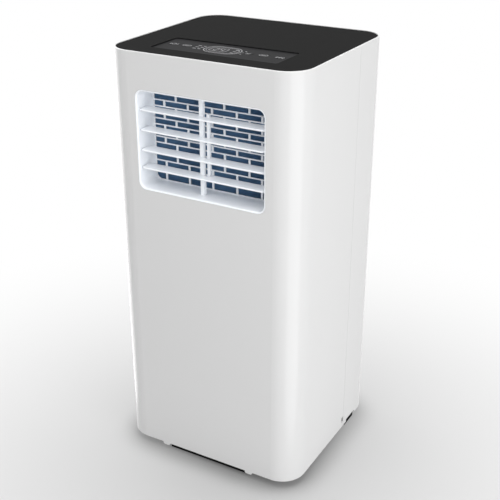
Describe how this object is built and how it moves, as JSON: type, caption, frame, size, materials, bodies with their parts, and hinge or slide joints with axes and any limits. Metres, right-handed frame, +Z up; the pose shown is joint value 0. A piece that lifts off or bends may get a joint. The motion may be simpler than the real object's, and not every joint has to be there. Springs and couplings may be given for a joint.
{
  "type": "portable air conditioner",
  "caption": "Tall white rounded cabinet on casters that cools a room: black top with a recessed control panel, tilting front louvre, rear intake grilles and a round exhaust.",
  "frame": {"origin": "on the floor under the middle of the cabinet", "axes": "+Z up, -Y out of the front with the louvre, +X to the right seen from the front"},
  "size_m": [0.318, 0.29, 0.67],
  "materials": {
    "white_shell": "white moulded plastic, fine satin grain",
    "white_rear": "white moulded plastic, satin",
    "white_louvre": "white moulded plastic with a cool cast, satin",
    "dark_pan": "black moulded plastic",
    "black_lid": "black moulded plastic, fine matt grain",
    "fascia": "smoked black film, low gloss, grey printed marks",
    "display_lens": "smoked lens over a number display",
    "display_module": "black light module",
    "key_cap": "smoked black key with a grey mark",
    "black_plastic": "black plastic",
    "circuit_board": "green coated board",
    "blue_fins": "aluminium fins with a dark blue water-shedding coat",
    "aluminium_fins": "bare aluminium fins",
    "copper": "drawn copper tube",
    "inner_plastic": "light grey moulded plastic",
    "fan_plastic": "dark grey filled plastic",
    "motor_steel": "plated steel can",
    "galvanised": "galvanised sheet",
    "compressor_paint": "black painted steel",
    "black_rubber": "black rubber",
    "filter_mesh": "dark net in a plastic frame",
    "screw_steel": "plated steel",
    "caster_fork": "pale grey moulded plastic",
    "caster_wheel": "pale grey hard wheel"
  },
  "bodies": {
    "cabinet": {"front_shell": "white_shell", "rear_cover": "white_shell", "base_pan": "dark_pan", "top_cover": "black_lid", "control_fascia": "fascia", "display_window": "display_lens", "display_module": "display_module", "key_switches": "black_plastic", "control_board": "circuit_board", "main_board": "circuit_board", "outlet_frame": "white_louvre", "outlet_guard": "white_louvre", "evaporator_fins": "blue_fins", "evaporator_tubes": "copper", "blower_housing": "inner_plastic", "blower_motor": "motor_steel", "blower_motor_bracket": "galvanised", "divider_deck": "inner_plastic", "chassis_posts": "galvanised", "compressor": "compressor_paint", "compressor_grommets": "black_rubber", "condenser_fins": "aluminium_fins", "condenser_tubes": "copper", "condenser_fan_housing": "inner_plastic", "condenser_fan_cover": "inner_plastic", "condenser_fan_motor": "motor_steel", "refrigerant_pipes": "copper", "exhaust_collar": "white_rear", "lower_intake_grille": "white_rear", "electrical_box": "galvanised", "cord_gland": "black_plastic", "rear_screws": "screw_steel"},
    "louvre_1": {"louvre_blade_1": "white_louvre"},
    "louvre_2": {"louvre_blade_2": "white_louvre"},
    "louvre_3": {"louvre_blade_3": "white_louvre"},
    "louvre_4": {"louvre_blade_4": "white_louvre"},
    "louvre_link": {"louvre_tie_bar": "white_louvre"},
    "blower_rotor": {"blower_wheel": "fan_plastic"},
    "condenser_rotor": {"condenser_fan_wheel": "fan_plastic"},
    "intake_panel": {"upper_intake_grille": "white_rear", "air_filter": "filter_mesh"},
    "upper_plug": {"drain_plug_upper": "black_rubber"},
    "lower_plug": {"drain_plug_lower": "black_rubber"},
    "key_power": {"key_power": "key_cap"},
    "key_timer": {"key_timer": "key_cap"},
    "key_down": {"key_down": "key_cap"},
    "key_up": {"key_up": "key_cap"},
    "key_mode": {"key_mode": "key_cap"},
    "swivel_front_left": {"caster_fork_front_left": "caster_fork", "caster_axle_front_left": "screw_steel"},
    "wheel_front_left": {"caster_wheel_front_left": "caster_wheel"},
    "swivel_front_right": {"caster_fork_front_right": "caster_fork", "caster_axle_front_right": "screw_steel"},
    "wheel_front_right": {"caster_wheel_front_right": "caster_wheel"},
    "swivel_rear_left": {"caster_fork_rear_left": "caster_fork", "caster_axle_rear_left": "screw_steel"},
    "wheel_rear_left": {"caster_wheel_rear_left": "caster_wheel"},
    "swivel_rear_right": {"caster_fork_rear_right": "caster_fork", "caster_axle_rear_right": "screw_steel"},
    "wheel_rear_right": {"caster_wheel_rear_right": "caster_wheel"}
  },
  "joints": [
    {"name": "louvre_1_tilt", "type": "hinge", "parent": "cabinet", "child": "louvre_1", "pos_m": [0, -0.136, 0.5849], "axis": [1, 0, 0], "range_deg": [-35, 35]},
    {"name": "louvre_2_tilt", "type": "hinge", "parent": "cabinet", "child": "louvre_2", "pos_m": [0, -0.136, 0.5545], "axis": [1, 0, 0], "range_deg": [-35, 35]},
    {"name": "louvre_3_tilt", "type": "hinge", "parent": "cabinet", "child": "louvre_3", "pos_m": [0, -0.136, 0.5241], "axis": [1, 0, 0], "range_deg": [-35, 35]},
    {"name": "louvre_4_tilt", "type": "hinge", "parent": "cabinet", "child": "louvre_4", "pos_m": [0, -0.136, 0.4968], "axis": [1, 0, 0], "range_deg": [-35, 35]},
    {"name": "louvre_link_pivot", "type": "hinge", "parent": "louvre_1", "child": "louvre_link", "pos_m": [0, -0.124, 0.5849], "axis": [1, 0, 0], "range_deg": [-35, 35]},
    {"name": "key_power_press", "type": "slide", "parent": "cabinet", "child": "key_power", "axis": [0, 0, -1], "range_m": [0, 0.0008], "stiffness_N_per_m": 900},
    {"name": "key_timer_press", "type": "slide", "parent": "cabinet", "child": "key_timer", "axis": [0, 0, -1], "range_m": [0, 0.0008], "stiffness_N_per_m": 900},
    {"name": "key_down_press", "type": "slide", "parent": "cabinet", "child": "key_down", "axis": [0, 0, -1], "range_m": [0, 0.0008], "stiffness_N_per_m": 900},
    {"name": "key_up_press", "type": "slide", "parent": "cabinet", "child": "key_up", "axis": [0, 0, -1], "range_m": [0, 0.0008], "stiffness_N_per_m": 900},
    {"name": "key_mode_press", "type": "slide", "parent": "cabinet", "child": "key_mode", "axis": [0, 0, -1], "range_m": [0, 0.0008], "stiffness_N_per_m": 900},
    {"name": "blower_spin", "type": "hinge", "parent": "cabinet", "child": "blower_rotor", "pos_m": [0, 0, 0.53775], "axis": [0, 1, 0], "continuous": true},
    {"name": "condenser_fan_spin", "type": "hinge", "parent": "cabinet", "child": "condenser_rotor", "pos_m": [0, 0, 0.15], "axis": [0, 1, 0], "continuous": true},
    {"name": "intake_panel_pull", "type": "slide", "parent": "cabinet", "child": "intake_panel", "axis": [0, 1, 0], "range_m": [0, 0.06]},
    {"name": "upper_plug_pull", "type": "slide", "parent": "cabinet", "child": "upper_plug", "axis": [0, 1, 0], "range_m": [0, 0.02]},
    {"name": "lower_plug_pull", "type": "slide", "parent": "cabinet", "child": "lower_plug", "axis": [0, 1, 0], "range_m": [0, 0.02]},
    {"name": "swivel_front_left_turn", "type": "hinge", "parent": "cabinet", "child": "swivel_front_left", "pos_m": [-0.079, -0.114, 0.03], "axis": [0, 0, 1], "continuous": true},
    {"name": "wheel_front_left_roll", "type": "hinge", "parent": "swivel_front_left", "child": "wheel_front_left", "pos_m": [-0.079, -0.124, 0.013], "axis": [1, 0, 0], "continuous": true},
    {"name": "swivel_front_right_turn", "type": "hinge", "parent": "cabinet", "child": "swivel_front_right", "pos_m": [0.079, -0.114, 0.03], "axis": [0, 0, 1], "continuous": true},
    {"name": "wheel_front_right_roll", "type": "hinge", "parent": "swivel_front_right", "child": "wheel_front_right", "pos_m": [0.079, -0.124, 0.013], "axis": [1, 0, 0], "continuous": true},
    {"name": "swivel_rear_left_turn", "type": "hinge", "parent": "cabinet", "child": "swivel_rear_left", "pos_m": [-0.079, 0.114, 0.03], "axis": [0, 0, 1], "continuous": true},
    {"name": "wheel_rear_left_roll", "type": "hinge", "parent": "swivel_rear_left", "child": "wheel_rear_left", "pos_m": [-0.079, 0.104, 0.013], "axis": [1, 0, 0], "continuous": true},
    {"name": "swivel_rear_right_turn", "type": "hinge", "parent": "cabinet", "child": "swivel_rear_right", "pos_m": [0.079, 0.114, 0.03], "axis": [0, 0, 1], "continuous": true},
    {"name": "wheel_rear_right_roll", "type": "hinge", "parent": "swivel_rear_right", "child": "wheel_rear_right", "pos_m": [0.079, 0.104, 0.013], "axis": [1, 0, 0], "continuous": true}
  ],
  "couplings": [
    {"joint": "louvre_2_tilt", "follows": "louvre_1_tilt", "ratio": 1},
    {"joint": "louvre_3_tilt", "follows": "louvre_1_tilt", "ratio": 1},
    {"joint": "louvre_4_tilt", "follows": "louvre_1_tilt", "ratio": 1},
    {"joint": "louvre_link_pivot", "follows": "louvre_1_tilt", "ratio": -1}
  ]
}
